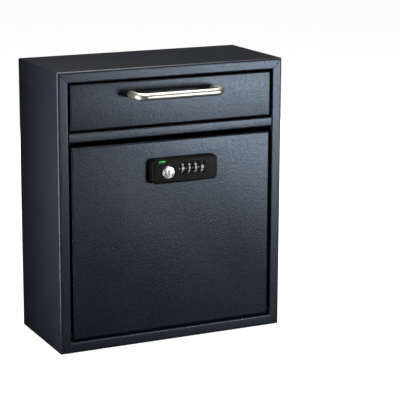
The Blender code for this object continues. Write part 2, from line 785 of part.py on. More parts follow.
def lock_clamp_plate(parent):
    """The plate behind the door that the two lock screws pull against it."""
    front = FRONT + SHEET + GAP
    low = (COVER_LEFT + CLAMP_MARGIN, front, COVER_BOTTOM + CLAMP_MARGIN)
    high = (COVER_RIGHT - CLAMP_MARGIN, front + CLAMP_THICKNESS, COVER_TOP - CLAMP_MARGIN)
    obj = mesh_object("lock_clamp_plate", box_bmesh(low, high), "zinc_plate")
    adopt(obj, parent)
    margin = Vector((GAP, 0.002, GAP))
    low = Vector((BODY_LEFT, front, BODY_BOTTOM)) - margin
    high = Vector((BODY_RIGHT, front + CLAMP_THICKNESS, BODY_TOP)) + margin
    cut_box(obj, low, high)
    cut_cylinders(obj, lock_screw_spots(), LOCK_SCREW_HOLE, 0.010, "Y", sides=16)


def lock_screws(parent):
    seat = SHEET + GAP + CLAMP_THICKNESS + GAP
    for side, spot in zip(("left", "right"), lock_screw_spots()):
        pan_head(
            f"lock_screw_{side}",
            LOCK_SCREW_RADIUS,
            LOCK_SCREW_REACH,
            seat,
            LOCK_SCREW_HEAD,
            spot,
            parent,
        )


def cylinder_sleeve(parent):
    """The bright ring round the key plug, in front of the indicator flag's hub."""
    front = PLUG_FRONT - 0.0004 - FRONT
    back = FLAG_FRONT - GAP - FRONT
    profile = [
        (SLEEVE_BORE, front),
        (SLEEVE_RADIUS - SLEEVE_CHAMFER, front),
        (SLEEVE_RADIUS, front + SLEEVE_CHAMFER),
        (SLEEVE_RADIUS, back),
        (SLEEVE_BORE, back),
        (SLEEVE_BORE, front),
    ]
    spot = LOCK_AXIS + Vector((0, FRONT, 0))
    turned("cylinder_sleeve", profile, "Y", spot, "bright_chrome", parent, sides=32)


def dial_axle(parent):
    first, last = dial_centres()[0].x, dial_centres()[-1].x
    length = last - first + 2 * (DIAL_HALF + GAP + AXLE_END)
    bm = bmesh.new()
    add_cylinder(bm, (0, 0, 0), AXLE_RADIUS, length, "X", sides=16)
    spot = ((first + last) / 2, DIAL_Y, DIAL_Z)
    sharp_smooth(mesh_object("dial_axle", bm, "zinc_plate", spot, parent))


def dial_detent_spring(parent):
    """A comb of leaf fingers behind the dials, one to each dial."""
    first, last = dial_centres()[0].x, dial_centres()[-1].x
    middle = DIAL_Y + DIAL_RADIUS + 2 * GAP + COMB_THICKNESS / 2
    bottom = DIAL_Z - DIAL_RADIUS + GAP
    points = [(first - DIAL_HALF, bottom), (last + DIAL_HALF, bottom)]
    root, tip = bottom + COMB_BAND, bottom + COMB_BAND + FINGER_LENGTH
    for centre in reversed(dial_centres()):
        right, left = centre.x + FINGER_HALF, centre.x - FINGER_HALF
        points += [(right, root), (right, tip), (left, tip), (left, root)]
    turn = (math.pi / 2, 0, 0)
    spot = (0, middle, 0)
    outline("dial_detent_spring", points, COMB_THICKNESS, turn, spot, "zinc_plate", parent)


def indicator_backing(parent):
    """The red plate that shows when the flag has turned away."""
    left, right, top = SLOT_LEFT - GAP, SLOT_RIGHT + GAP, SLOT_TOP + GAP
    points = [(left, RED_PLATE_BOTTOM), (right, RED_PLATE_BOTTOM), (right, top)]
    points += [(left + RED_PLATE_CORNER, top), (left, top - RED_PLATE_CORNER)]
    bm = flat_bmesh(points, BODY_FRONT - 0.0005, BODY_FRONT - 0.0002)
    adopt(mesh_object("indicator_backing", bm, "red_enamel"), parent)


# ---------------------------------------------------------------- lock rotor and dials


def key_plug(parent):
    """The turning plug, with a keyway in its front and a stepped tail for the cam."""
    front = PLUG_FRONT - FRONT
    tail = CAM_FRONT - FRONT
    profile = [
        (0.0, front),
        (PLUG_RADIUS - PLUG_CHAMFER, front),
        (PLUG_RADIUS, front + PLUG_CHAMFER),
        (PLUG_RADIUS, tail - GAP),
        (PLUG_TAIL_RADIUS, tail - GAP),
        (PLUG_TAIL_RADIUS, tail + CAM_THICKNESS - 0.0002),
        (0.0, tail + CAM_THICKNESS - 0.0002),
    ]
    spot = LOCK_AXIS + Vector((0, FRONT, 0))
    obj = turned("key_plug", profile, "Y", spot, "bright_chrome", parent, sides=32)
    low = LOCK_AXIS + Vector((-KEYWAY.x / 2, PLUG_FRONT - 0.001, -KEYWAY.z / 2))
    high = LOCK_AXIS + Vector((KEYWAY.x / 2, PLUG_FRONT + KEYWAY.y, KEYWAY.z / 2))
    cut_box(obj, low, high)
    bore = LOCK_AXIS + Vector((0, CAM_FRONT, 0))
    cut_cylinders(obj, [bore], CAM_SCREW_HOLE, 0.012, "Y", sides=16)


def indicator_flag(parent):
    """A green sector on a ring round the plug, cut off straight where the cover's walls are near."""
    start, stop = FLAG_ANGLES
    inner = PLUG_RADIUS + GAP
    sector = arc((0, 0), FLAG_RADIUS, start, stop, 12)
    sector = [(max(x, FLAG_LEFT), min(z, FLAG_TOP)) for x, z in sector]
    rim = arc((0, 0), inner + FLAG_HUB, stop, start + 2 * math.pi, 24)
    spot = LOCK_AXIS + Vector((0, FLAG_FRONT, 0))
    bm = flat_bmesh(sector + rim, 0.0, FLAG_THICKNESS)
    obj = mesh_object("indicator_flag", bm, "green_enamel", spot, parent)
    cut_cylinders(obj, [spot], inner, 0.004, "Y")


def lock_cam(parent):
    """The bolt: a flat bar on the plug's tail that swings up behind the middle rail."""
    points = arc((0, 0), CAM_HALF, math.pi / 2, 3 * math.pi / 2, 10)
    points += [(CAM_LENGTH - CAM_CHAMFER, -CAM_HALF), (CAM_LENGTH, CAM_CHAMFER - CAM_HALF)]
    points += [(CAM_LENGTH, CAM_HALF - CAM_CHAMFER), (CAM_LENGTH - CAM_CHAMFER, CAM_HALF)]
    turn = (math.pi / 2, 0, 0)
    spot = LOCK_AXIS + Vector((0, CAM_FRONT + CAM_THICKNESS / 2, 0))
    cam = to_mesh(outline("lock_cam", points, CAM_THICKNESS, turn, spot, "zinc_plate", parent))
    cut_cylinders(cam, [spot], PLUG_TAIL_RADIUS + GAP, 0.006, "Y", sides=20)


def cam_screw(parent):
    spot = LOCK_AXIS + Vector((0, CAM_FRONT, 0))
    seat = CAM_THICKNESS + GAP
    pan_head("cam_screw", CAM_SCREW_RADIUS, CAM_SCREW_REACH, seat, CAM_SCREW_HEAD, spot, parent)


def dial(name, centre):
    """A number wheel: a groove for the figures between two thumb rims."""
    parent = axis_empty(name + "_axis", centre)
    edge = 0.0003
    groove = DIAL_RADIUS - DIAL_GROOVE
    half = [(DIAL_RADIUS - edge, DIAL_HALF), (DIAL_RADIUS, DIAL_HALF - edge)]
    half += [(DIAL_RADIUS, DIAL_HALF - DIAL_RIM), (groove, DIAL_HALF - DIAL_RIM - edge)]
    profile = [(DIAL_BORE, -DIAL_HALF)]
    profile += [(radius, -x) for radius, x in half] + half[::-1]
    profile += [(DIAL_BORE, DIAL_HALF), (DIAL_BORE, -DIAL_HALF)]
    turned(name, profile, "X", centre, "dial_plastic", parent, sides=30)


def build():
    cabinet_shell()
    back_panel()
    middle_rail()
    pivot_pins()
    door_stops()
    hopper_rests()

    hopper = axis_empty("hopper_axis", HOPPER_PIVOT)
    hopper_face(hopper)
    hopper_tray(hopper)
    hopper_cheeks(hopper)
    handle(hopper)
    handle_screws(hopper)

    door = axis_empty("door_axis", DOOR_PIVOT)
    door_panel(door)
    lock_housing(door)
    lock_body(door)
    lock_clamp_plate(door)
    lock_screws(door)
    cylinder_sleeve(door)
    dial_axle(door)
    dial_detent_spring(door)
    indicator_backing(door)

    rotor = axis_empty("lock_axis", LOCK_AXIS + Vector((0, FRONT, 0)))
    key_plug(rotor)
    indicator_flag(rotor)
    lock_cam(rotor)
    cam_screw(rotor)
    for number, centre in enumerate(dial_centres(), start=1):
        dial(f"dial_{number}", centre)


build()
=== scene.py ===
"""Looks of the wall-mounted parcel drop box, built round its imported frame."""

import json
import math

import bmesh
import bpy
from mathutils import Matrix, Vector


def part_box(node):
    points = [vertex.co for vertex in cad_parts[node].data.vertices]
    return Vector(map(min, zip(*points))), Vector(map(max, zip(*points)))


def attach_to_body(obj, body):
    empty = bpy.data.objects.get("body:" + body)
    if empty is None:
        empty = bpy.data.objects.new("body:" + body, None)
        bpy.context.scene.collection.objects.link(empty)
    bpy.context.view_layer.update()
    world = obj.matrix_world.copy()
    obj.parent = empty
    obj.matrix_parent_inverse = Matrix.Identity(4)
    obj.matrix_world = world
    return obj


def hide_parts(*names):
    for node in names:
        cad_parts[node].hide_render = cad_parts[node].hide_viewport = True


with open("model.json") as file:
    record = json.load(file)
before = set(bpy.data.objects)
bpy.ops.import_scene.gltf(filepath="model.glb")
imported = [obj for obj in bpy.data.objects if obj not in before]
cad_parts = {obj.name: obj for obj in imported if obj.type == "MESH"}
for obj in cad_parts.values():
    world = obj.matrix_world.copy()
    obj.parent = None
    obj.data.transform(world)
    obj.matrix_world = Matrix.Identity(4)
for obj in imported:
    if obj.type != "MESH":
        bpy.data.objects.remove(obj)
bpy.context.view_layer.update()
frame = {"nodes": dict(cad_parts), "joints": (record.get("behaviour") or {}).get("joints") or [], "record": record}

# All lengths are in metres

# Cuts and gaps
THROUGH = 0.001  # how far a cut passes the face it starts from
NARROW = 0.0003  # gap between pieces that touch
HOLE_CUT = 0.008  # length of a cut through one sheet
PIN_CUT_MARGIN = 0.010  # how far a pin's cut passes the sheets

# Sheet metal
SHEET = 0.0012
FLANGE = 0.0123
LIP = 0.010
WRAP_BEND = 0.0026
LIP_BEND = 0.0020
BOX_CORNER = 0.0012
SEAM_RADIUS = 0.00035
SEAM_DEPTH = 0.0005
RELIEF_RADIUS = 0.0008
RELIEF_INSET = 0.0042
RELIEF_CUT = 0.006
SEAM_START = 0.0012  # beyond the outer bend
DOOR_BEND = 0.0022
DOOR_CORNER_BEND = 0.0012
HOPPER_BEND = 0.0014
HOPPER_CORNER_BEND = 0.0007
RAIL_BEND = 0.0016
PIN_HOLE = 0.0017
HANDLE_SCREW_HOLE = 0.0023
LOCK_SCREW_HOLE = 0.0016
LOCK_OPENING_GAP = 0.0004

# Degrees between faces, above which their edge stays sharp
SHARP = 35.0
SHARP_WRAP = 40.0
SHARP_COVER = 30.0
SHARP_WHEEL = 50.0

# Handle
HANDLE_BEND = 0.009

# Screws: the head's radius and height, and the shank's radius
HANDLE_SCREW = (0.0038, 0.0019, 0.0019)
LOCK_SCREW = (0.0024, 0.0012, 0.0012)
CAM_SCREW = (0.0045, 0.00225, 0.0014)
HEAD_FLAT = 0.55  # of the head's radius
HEAD_DOME = 0.75  # of the head's height
RECESS_REACH = 0.55  # of the head's radius
RECESS_HALF = 0.12  # of the head's radius
RECESS_DEPTH = 0.6  # of the head's height

# Lock
COVER_FILLET = 0.0024
COVER_CORNER = 0.0050
COVER_CROWN_X = 0.008
COVER_BOW = 0.400  # radius of the bowed face
COVER_INSIDE = 0.0024  # behind the crown of the face
COVER_COLUMNS = 14
COVER_SCREW_HOLE = 0.0015
COVER_SCREW_CUT = 0.014
COLLAR_CUT = 0.008
COLLAR_RIM = 0.0014  # beyond the sleeve, at the cover's face
COLLAR_FOOT = 0.0004  # beyond the sleeve, at the dish's bottom
COLLAR_DEPTH = 0.0010
FLAG_REACH = 0.0166
FLAG_HALF = 0.0113
FLAG_TOP = 0.0134
FLAG_ROOM_EXTRA = 0.0001
SLOT_HEIGHT = 0.0025
SLOT_STEPS = 12  # on each round end
LENS_GAP = 0.0001
LENS_DOME = 0.0005
LENS_SEAT = 0.0002  # behind the cover's face
LENS_THICKNESS = 0.0006
WINDOW_HALF = (0.00325, 0.0060)
WINDOW_CHAMFER = 0.0003
KEYWAY_HALF = (0.0007, 0.0031)
KEYWAY_EYE = 0.0012
KEYWAY_DEPTH = 0.006
SLEEVE_INNER_EDGE = 0.0005
SLEEVE_OUTER_EDGE = 0.0012
PLUG_EDGE = 0.0004
PLUG_TAIL_RADIUS = 0.0032
PLUG_TAIL_LENGTH = 0.0022
CAM_SCREW_HOLE = 0.0017
CAM_SCREW_CUT = 0.010
DIMPLES = ((-0.0136, 0.0014), (-0.0136, -0.0026))  # (x, z) from the lock's axis
DIMPLE_RADIUS = 0.0008
DIMPLE_DEPTH = 0.0008
DIMPLE_TIP = 0.4  # of the dimple's radius
MARK_SIZE = (0.0005, 0.0010)
MARK_PROUD = 0.00006
MARK_BED = 0.00012
MARK_EDGE = 0.00005

# Dials
DIAL_NUMBERS = range(1, 5)
DIAL_DIGITS = 10
SHOWN_DIGITS = (8, 3, 5, 0)
DIGIT_HEIGHT = 0.0031
DIGIT_STRETCH = 1.4
CAPITAL_HEIGHT = 0.72  # of the font's size
DIGIT_THICKNESS = 0.00008
DIGIT_BOLDNESS = 0.00012
DIAL_GROOVE = 0.0004
DIAL_RIM = 0.0008
DIAL_BORE = 0.0013
RIM_SLOPE = 0.0001
RIM_EDGE = 0.0002
RIM_CHAMFER = 0.0003
TOOTH_DEPTH = 0.00022
TEETH = 4 * DIAL_DIGITS

# Stage
FLOOR_REACH = 30.0
FLOOR_DROP = 0.0002
FLOOR_GREY = 0.25
FLOOR_GLOW = 0.96
ABOVE_HORIZON = 0.14  # light from the surround
BELOW_HORIZON = 0.02
HORIZON_BAND = 0.1
CAMERA_PLACE = (-0.692, -1.543, 0.547)
CAMERA_FALL = 12.27  # degrees below level
CAMERA_TURN = -24.88  # degrees from straight ahead
CAMERA_LENS = 139.9
CAMERA_SHIFT = (0.075, -0.075)

SIDES = ("left", "right")
JOINTS = {joint["name"]: joint for joint in frame["joints"]}


def joint_point(name):
    return Vector(JOINTS[name]["pos_m"])


# ---------------------------------------------------------------- materials


class Look:
    """A Principled material with a few procedural layers over its plain colour and roughness."""

    def __init__(self, name, color, roughness, metallic=0.0, **inputs):
        self.material = bpy.data.materials.new(name)
        self.material.use_nodes = True
        self.tree = self.material.node_tree
        self.shader = self.tree.nodes["Principled BSDF"]
        self.set("Base Color", (*color, 1.0))
        self.set("Roughness", roughness)
        self.set("Metallic", metallic)
        for socket, value in inputs.items():
            self.set(socket.replace("_", " "), value)
        self.place = self.node("ShaderNodeTexCoord").outputs["Object"]
        self.height = None

    def set(self, socket, value):
        self.shader.inputs[socket].default_value = value

    def node(self, kind, **settings):
        made = self.tree.nodes.new(kind)
        for name, value in settings.items():
            setattr(made, name, value)
        return made

    def link(self, source, target):
        self.tree.links.new(source, target)

    def stretched(self, scale):
        mapping = self.node("ShaderNodeMapping")
        mapping.inputs["Scale"].default_value = scale
        self.link(self.place, mapping.inputs["Vector"])
        return mapping.outputs["Vector"]

    def noise(self, scale, detail=2.0, roughness=0.5, stretch=None):
        made = self.node("ShaderNodeTexNoise")
        made.inputs["Scale"].default_value = scale
        made.inputs["Detail"].default_value = detail
        made.inputs["Roughness"].default_value = roughness
        self.link(self.stretched(stretch) if stretch else self.place, made.inputs["Vector"])
        return made.outputs["Fac"]

    def spread(self, value, low, high, start=0.3, stop=0.7):
        """The value runs from low to high as it goes from start to stop."""
        made = self.node("ShaderNodeMapRange", clamp=True)
        made.inputs["From Min"].default_value = start
        made.inputs["From Max"].default_value = stop
        made.inputs["To Min"].default_value = low
        made.inputs["To Max"].default_value = high
        self.link(value, made.inputs["Value"])
        return made.outputs["Result"]

    def tint(self, value, first, second):
        """The base colour runs from first to second with the value."""
        mix = self.node("ShaderNodeMix", data_type="RGBA")
        mix.inputs["A"].default_value = (*first, 1.0)
        mix.inputs["B"].default_value = (*second, 1.0)
        self.link(value, mix.inputs["Factor"])
        self.link(mix.outputs["Result"], self.shader.inputs["Base Color"])

    def rough(self, value):
        self.link(value, self.shader.inputs["Roughness"])

    def bump(self, value, distance, strength=1.0):
        """Adds a layer of relief on top of the earlier ones."""
        made = self.node("ShaderNodeBump")
        made.inputs["Strength"].default_value = strength
        made.inputs["Distance"].default_value = distance
        self.link(value, made.inputs["Height"])
        if self.height:
            self.link(self.height, made.inputs["Normal"])
        self.height = made.outputs["Normal"]
        self.link(self.height, self.shader.inputs["Normal"])


def powder_coat():
    """Fine-textured satin black powder coat with a blue cast."""
    blue = (0.64, 0.80, 1.0, 1.0)
    look = Look("powder_coat", (0.012, 0.014, 0.020), 0.34, IOR=1.45, Specular_Tint=blue)
    cloud = look.noise(14.0, detail=3.0)
    mottle = look.noise(600.0, detail=3.0, roughness=0.6)
    grain = look.noise(1500.0, detail=2.0)
    look.tint(look.spread(cloud, 0.0, 1.0), (0.010, 0.012, 0.017), (0.015, 0.017, 0.024))
    look.rough(look.spread(mottle, 0.28, 0.40))
    look.bump(mottle, 0.00020, 1.0)
    look.bump(grain, 0.00007, 0.8)
    return look.material


def plated_steel():
    """Zinc plate with a cloudy bloom and fine scratches."""
    look = Look("zinc_plated_steel", (0.44, 0.45, 0.45), 0.46, 1.0)
    bloom = look.noise(160.0, detail=4.0)
    scratches = look.noise(900.0, detail=2.0, stretch=(0.15, 1.0, 1.0))
    look.tint(look.spread(bloom, 0.0, 1.0), (0.38, 0.39, 0.39), (0.50, 0.50, 0.49))
    look.rough(look.spread(bloom, 0.40, 0.54))
    look.bump(scratches, 0.00001, 0.4)
    return look.material


def satin_nickel():
    """Nickel brushed along the handle, with faint smudges."""
    look = Look("satin_nickel", (0.58, 0.60, 0.55), 0.34, 1.0)
    lines = look.noise(1100.0, detail=2.0, stretch=(0.05, 1.0, 1.0))
    smudge = look.noise(60.0, detail=3.0)
    look.tint(look.spread(smudge, 0.0, 1.0), (0.54, 0.56, 0.51), (0.62, 0.64, 0.58))
    look.rough(look.spread(lines, 0.38, 0.48))
    look.bump(lines, 0.000008, 0.4)
    return look.material


def bright_chrome():
    """Chrome with fine turning marks and faint smudges."""
    look = Look("bright_chrome", (0.56, 0.57, 0.58), 0.30, 1.0)
    turning = look.noise(1400.0, detail=2.0, stretch=(1.0, 0.1, 1.0))
    smudge = look.noise(220.0, detail=3.0)
    look.tint(look.spread(smudge, 0.0, 1.0), (0.52, 0.53, 0.54), (0.62, 0.63, 0.64))
    look.rough(look.spread(smudge, 0.26, 0.34))
    look.bump(turning, 0.000006, 0.3)
    return look.material


def moulded_plastic(name, color, low, high, grain_scale=1900.0, relief=0.00004, specular=0.5):
    """Plastic or rubber with a moulded grain, its roughness between low and high."""
    look = Look(name, color, (low + high) / 2, Specular_IOR_Level=specular)
    grain = look.noise(grain_scale, detail=2.0)
    cloud = look.noise(90.0, detail=2.0)
    lighter = tuple(part * 1.25 for part in color)
    look.tint(look.spread(cloud, 0.0, 1.0), color, lighter)
    look.rough(look.spread(grain, low, high))
    look.bump(grain, relief, 0.5)
    return look.material


def enamel(name, color):
    """Bright paint on the indicator's plates, slightly uneven."""
    look = Look(name, color, 0.6, Specular_IOR_Level=0.2)
    cloud = look.noise(700.0, detail=2.0)
    look.tint(look.spread(cloud, 0.0, 1.0), color, tuple(part * 1.15 for part in color))
    look.rough(look.spread(cloud, 0.55, 0.68))
    look.bump(cloud, 0.00001, 0.3)
    return look.material


def figure_paint():
    """White paint in the dials' figures, rubbed in places."""
    look = Look("figure_paint", (0.80, 0.80, 0.78), 0.5)
    rub = look.noise(1300.0, detail=3.0)
    look.tint(look.spread(rub, 0.0, 1.0, 0.32, 0.5), (0.55, 0.55, 0.54), (0.86, 0.86, 0.84))
    look.rough(look.spread(rub, 0.6, 0.4))
    look.bump(rub, 0.00002, 0.4)
    return look.material


def clear_lens():
    """Clear plastic with a faint haze."""
    look = Look("clear_lens", (0.95, 0.98, 0.95), 0.05, Transmission_Weight=1.0, IOR=1.2)
    haze = look.noise(500.0, detail=2.0)
    look.rough(look.spread(haze, 0.03, 0.10))
    return look.material


LOOKS = {
    "black_coat": powder_coat(),
    "zinc_plate": plated_steel(),
    "satin_nickel": satin_nickel(),
    "bright_chrome": bright_chrome(),
    "lock_plastic": moulded_plastic("lock_plastic", (0.003, 0.003, 0.003), 0.50, 0.64, specular=0.14),
    "dial_plastic": moulded_plastic("dial_plastic", (0.004, 0.004, 0.004), 0.40, 0.52, specular=0.16),
    "nylon": moulded_plastic("nylon", (0.004, 0.004, 0.004), 0.70, 0.85, specular=0.1),
    "rubber": moulded_plastic("rubber", (0.018, 0.018, 0.018), 0.75, 0.92, 1200.0, 0.00008),
    "green_enamel": enamel("green_enamel", (0.04, 0.80, 0.07)),
    "red_enamel": enamel("red_enamel", (0.60, 0.025, 0.025)),
    "figure_paint": figure_paint(),
    "clear_lens": clear_lens(),
}


def dress_cad_nodes():
    """Gives each node of the frame the procedural material of its slot."""
    slots = {row["node"]: row["material_slot"] for row in frame["record"]["subparts"]}
    for name, node in frame["nodes"].items():
        node.data.materials.clear()
        node.data.materials.append(LOOKS[slots[name]])


# ---------------------------------------------------------------- modelling helpers


def new_bmesh():
    bm = bmesh.new()
    bm.edges.layers.float.new("bevel_weight_edge")
    return bm


def weigh(bm, edges, weight=1.0):
    layer = bm.edges.layers.float["bevel_weight_edge"]
    for edge in edges:
        edge[layer] = weight


def link(name, data, look):
    obj = bpy.data.objects.new(name, data)
    bpy.context.scene.collection.objects.link(obj)
    data.materials.append(LOOKS[look])
    return obj


def smooth(obj, angle=SHARP):
    obj.data.shade_smooth()
    obj.data.set_sharp_from_angle(angle=math.radians(angle))


def mesh_piece(name, bm, look, body, *nodes, slot=None, angle=SHARP):
    """A piece of the object, which stands for the named CAD nodes."""
    mesh = bpy.data.meshes.new(name)
    bm.to_mesh(mesh)
    bm.free()
    obj = link(name, mesh, look)
    smooth(obj, angle)
    return attach(obj, body, nodes)


def attach(obj, body, nodes):
    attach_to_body(obj, body)
    if nodes:
        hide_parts(*nodes)
    return obj


def cut(obj, bm):
    """Cuts a closed shape out of a piece, and applies the cut at once."""
    mesh = bpy.data.meshes.new(obj.name + "_tool")
    bm.to_mesh(mesh)
    bm.free()
    tool = bpy.data.objects.new(mesh.name, mesh)
    bpy.context.scene.collection.objects.link(tool)
    modifier = obj.modifiers.new("Cut", "BOOLEAN")
    modifier.object = tool
    modifier.solver = "EXACT"
    settle(obj)
    bpy.data.objects.remove(tool, do_unlink=True)


def settle(obj):
    """Applies a piece's modifiers."""
    bpy.context.view_layer.update()
    graph = bpy.context.evaluated_depsgraph_get()
    mesh = bpy.data.meshes.new_from_object(obj.evaluated_get(graph))
    obj.modifiers.clear()
    old = obj.data
    obj.data = mesh
    bpy.data.meshes.remove(old)
    mesh.name = obj.name


def box_bmesh(low, high):
    bm = new_bmesh()
    bmesh.ops.create_cube(bm, size=1.0)
    bmesh.ops.scale(bm, vec=[b - a for a, b in zip(low, high)], verts=bm.verts)
    bmesh.ops.translate(bm, vec=[(a + b) / 2 for a, b in zip(low, high)], verts=bm.verts)
    return bm


def cylinder_bmesh(centres, radius, length, axis, sides=32, tip=None):
    """Cylinders along an axis, or frustums that narrow to tip at their far end."""
    turns = {"X": Matrix.Rotation(math.pi / 2, 4, "Y"), "Y": Matrix.Rotation(-math.pi / 2, 4, "X")}
    bm = new_bmesh()
    for centre in centres:
        bmesh.ops.create_cone(
            bm,
            cap_ends=True,
            segments=sides,
            radius1=radius,
            radius2=radius if tip is None else tip,
            depth=length,
            matrix=Matrix.Translation(centre) @ turns[axis],
        )
    return bm


def facing(bm, direction):
    return max(bm.faces, key=lambda face: face.normal.dot(Vector(direction)))


def fold(obj, bend, segments):
    """Rounds a sheet's weighted edges to the bend's radius, and gives the sheet its thickness inwards."""
    modifier = obj.modifiers.new("Bend", "BEVEL")
    modifier.width = bend
    modifier.segments = segments
    modifier.limit_method = "WEIGHT"
    modifier = obj.modifiers.new("Sheet", "SOLIDIFY")
    modifier.thickness = SHEET
    modifier.offset = -1.0
    modifier.use_even_offset = True
    settle(obj)


def quarter(steps):
    return [math.pi / 2 * step / steps for step in range(steps + 1)]


def ring_strip(bm, rings):
    """Joins closed rings of vertices by bands of faces."""
    for first, second in zip(rings, rings[1:]):
        count = len(first)
        for i in range(count):
            j = (i + 1) % count
            bm.faces.new((first[i], first[j], second[j], second[i]))


# ---------------------------------------------------------------- sheet metal


def wrap_profile(lo, hi):
    """(inset, y, seam depth) round the folded wall: out along its face, back along its inside."""
    front, back = lo.y, hi.y
    outer = [(0.0, back, 0.0)]
    for a in quarter(8):
        outer.append((WRAP_BEND * (1 - math.cos(a)), front + WRAP_BEND * (1 - math.sin(a)), 0.0))
    outer.append((WRAP_BEND + SEAM_START, front, SEAM_DEPTH))
    for a in quarter(7):
        depth = SEAM_DEPTH * math.cos(a)
        spot = FLANGE - LIP_BEND + LIP_BEND * math.sin(a), front + LIP_BEND * (1 - math.cos(a))
        outer.append((*spot, depth))
    outer.append((FLANGE, front + LIP, 0.0))
    inner = [(FLANGE - SHEET, front + LIP, 0.0)]
    for a in reversed(quarter(5)):
        radius = LIP_BEND - SHEET
        spot = FLANGE - LIP_BEND + radius * math.sin(a), front + LIP_BEND - radius * math.cos(a)
        inner.append((*spot, 0.0))
    for a in reversed(quarter(5)):
        radius = WRAP_BEND - SHEET
        spot = WRAP_BEND - radius * math.cos(a), front + WRAP_BEND - radius * math.sin(a)
        inner.append((*spot, 0.0))
    inner.append((SHEET, back, 0.0))
    return outer + inner


def corner_ring(bm, lo, hi, inset, y, seam, steps=6):
    """One turn round the box at an inset, with rounded corners that dip along the mitre seams."""
    radius = max(SEAM_RADIUS, BOX_CORNER - inset)
    ring = []
    for number, (sx, sz) in enumerate(((1, 1), (-1, 1), (-1, -1), (1, -1))):
        cx = (hi.x if sx > 0 else lo.x) - sx * (inset + radius)
        cz = (hi.z if sz > 0 else lo.z) - sz * (inset + radius)
        for step in range(steps + 1):
            angle = math.pi / 2 * (number + step / steps)
            dip = seam * math.sin(math.pi * step / steps)
            x, z = cx + radius * math.cos(angle), cz + radius * math.sin(angle)
            ring.append(bm.verts.new((x, y + dip, z)))
    return ring


def cabinet():
    lo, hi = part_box("cabinet_shell")
    bm = new_bmesh()
    rings = [corner_ring(bm, lo, hi, *point) for point in wrap_profile(lo, hi)]
    ring_strip(bm, rings + rings[:1])
    bmesh.ops.recalc_face_normals(bm, faces=bm.faces)
    obj = mesh_piece("cabinet_wrap", bm, "black_coat", "cabinet", "cabinet_shell")
    corners = [
        Vector((x, lo.y, z))
        for x in (lo.x + RELIEF_INSET, hi.x - RELIEF_INSET)
        for z in (lo.z + RELIEF_INSET, hi.z - RELIEF_INSET)
    ]
    cut(obj, cylinder_bmesh(corners, RELIEF_RADIUS, RELIEF_CUT, "Y", 16))
    pivots = [joint_point("hopper_tilt"), joint_point("door_drop")]
    length = hi.x - lo.x - 2 * FLANGE + PIN_CUT_MARGIN
    cut(obj, cylinder_bmesh(pivots, PIN_HOLE, length, "X", 20))
    smooth(obj, SHARP_WRAP)


def pan(name, node, body, bend, corner_bend):
    """A sheet pan with its face to the front, at the CAD node's place."""
    lo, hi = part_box(node)
    bm = box_bmesh(lo, hi)
    bm.normal_update()
    bmesh.ops.delete(bm, geom=[facing(bm, (0, 1, 0))], context="FACES_ONLY")
    along = [edge for edge in bm.edges if abs(edge.verts[0].co.y - edge.verts[1].co.y) > 0.001]
    weigh(bm, along, corner_bend / bend)
    weigh(bm, facing(bm, (0, -1, 0)).edges)
    obj = mesh_piece(name, bm, "black_coat", body, node)
    fold(obj, bend, 8)
    return obj, lo, hi


def hopper_front():
    obj, lo, hi = pan("hopper_front", "hopper_face", "hopper", HOPPER_BEND, HOPPER_CORNER_BEND)
    length = hi.x - lo.x + PIN_CUT_MARGIN
    cut(obj, cylinder_bmesh([joint_point("hopper_tilt")], PIN_HOLE, length, "X", 20))
    holes = [screw_centre(f"handle_screw_{side}", lo.y) for side in SIDES]
    cut(obj, cylinder_bmesh(holes, HANDLE_SCREW_HOLE, HOLE_CUT, "Y", 24))
    smooth(obj)


def screw_centre(node, y):
    lo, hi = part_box(node)
    return Vector(((lo.x + hi.x) / 2, y, (lo.z + hi.z) / 2))


def door_front():
    obj, lo, hi = pan("door_front", "door_panel", "door", DOOR_BEND, DOOR_CORNER_BEND)
    length = hi.x - lo.x + PIN_CUT_MARGIN
    cut(obj, cylinder_bmesh([joint_point("door_drop")], PIN_HOLE, length, "X", 20))
    body_lo, body_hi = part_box("lock_body")
    gap = LOCK_OPENING_GAP
    low = (body_lo.x - gap, lo.y - THROUGH, body_lo.z - gap)
    high = (body_hi.x + gap, lo.y + SHEET + THROUGH, body_hi.z + gap)
    cut(obj, box_bmesh(low, high))
    holes = [screw_centre(f"lock_screw_{side}", lo.y) for side in SIDES]
    cut(obj, cylinder_bmesh(holes, LOCK_SCREW_HOLE, HOLE_CUT, "Y", 16))
    smooth(obj)


def rail():
    lo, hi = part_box("middle_rail")
    bm = box_bmesh(lo, hi)
    bm.normal_update()
    open_sides = [facing(bm, way) for way in ((0, 1, 0), (1, 0, 0), (-1, 0, 0))]
    bmesh.ops.delete(bm, geom=open_sides, context="FACES_ONLY")
    weigh(bm, [edge for edge in bm.edges if len(edge.link_faces) == 2])
    obj = mesh_piece("rail_front", bm, "black_coat", "cabinet", "middle_rail")
    fold(obj, RAIL_BEND, 6)
    smooth(obj)


# ---------------------------------------------------------------- handle and screws


def wire_handle():
    lo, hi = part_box("handle")
    rod = (hi.z - lo.z) / 2
    centre_z = (hi.z + lo.z) / 2
    left, right = lo.x + rod, hi.x - rod
    front = lo.y + rod
    bend = HANDLE_BEND
    path = [(left, hi.y), (left, (hi.y + front + bend) / 2)]
    for a in quarter(14):
        path.append((left + bend * (1 - math.cos(a)), front + bend * (1 - math.sin(a))))
    path += [(left + right - x, y) for x, y in reversed(path)]
    curve = bpy.data.curves.new("wire_handle", "CURVE")
    curve.dimensions = "3D"
    curve.bevel_depth = rod
    curve.bevel_resolution = 10
    curve.use_fill_caps = True
    spline = curve.splines.new("POLY")
    spline.points.add(len(path) - 1)
    for point, (x, y) in zip(spline.points, path):
        point.co = (x, y, centre_z, 1.0)
    spline.use_smooth = True
    obj = link("wire_handle", curve, "satin_nickel")
    attach(obj, "hopper", ["handle"])


